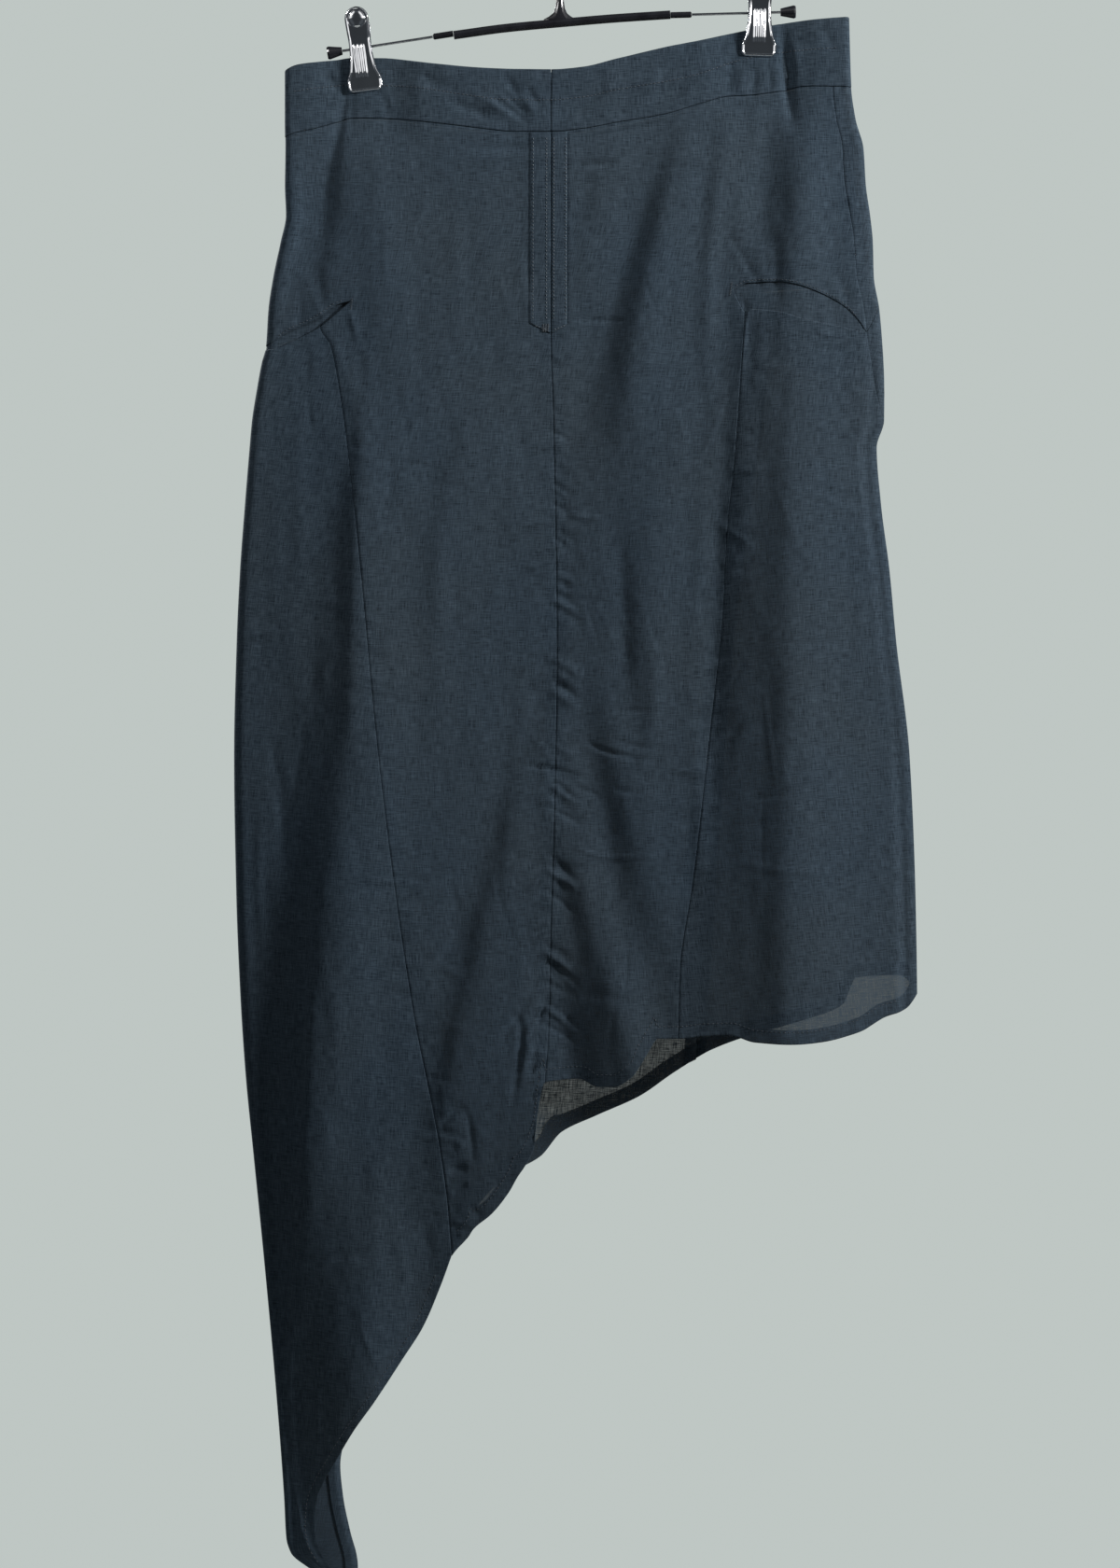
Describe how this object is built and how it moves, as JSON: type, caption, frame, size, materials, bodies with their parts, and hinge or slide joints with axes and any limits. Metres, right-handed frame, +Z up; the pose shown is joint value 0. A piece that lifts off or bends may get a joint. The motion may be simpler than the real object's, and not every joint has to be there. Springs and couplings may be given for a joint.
{
  "type": "asymmetric skirt on clip hanger",
  "caption": "Long asymmetric linen skirt with a slanting hem, placket and slit pockets, hung flat by its waistband from a clip hanger.",
  "frame": {"origin": "inside of the hook's bend, where it rests on whatever holds it", "axes": "+Z up along the skirt's length, the front faces -Y, +X is the viewer's right"},
  "size_m": [0.5268, 0.0675, 1.2989],
  "materials": {
    "linen": "matt plain-weave linen, slightly sheer",
    "zip_tape": "matt woven tape",
    "black_plastic": "glossy",
    "steel": "drawn wire",
    "chrome": "bright plated"
  },
  "bodies": {
    "root": {"waistband_front_left": "linen", "waistband_front_right": "linen", "waistband_back": "linen", "front_left": "linen", "front_right": "linen", "side_front_left": "linen", "side_front_right": "linen", "back_centre": "linen", "side_back_left": "linen", "side_back_right": "linen", "placket_strip_left": "linen", "placket_strip_right": "linen", "pocket_facing_left": "linen", "pocket_facing_right": "linen", "zip_tape": "zip_tape", "hanger_bar": "black_plastic", "ferrule_left": "black_plastic", "ferrule_right": "black_plastic", "cap_left": "black_plastic", "cap_right": "black_plastic", "rod_left": "steel", "rod_right": "steel", "hook": "chrome", "clip_left_front": "chrome", "clip_left_back": "chrome", "clip_left_spring": "chrome", "clip_right_front": "chrome", "clip_right_back": "chrome", "clip_right_spring": "chrome"}
  },
  "joints": []
}
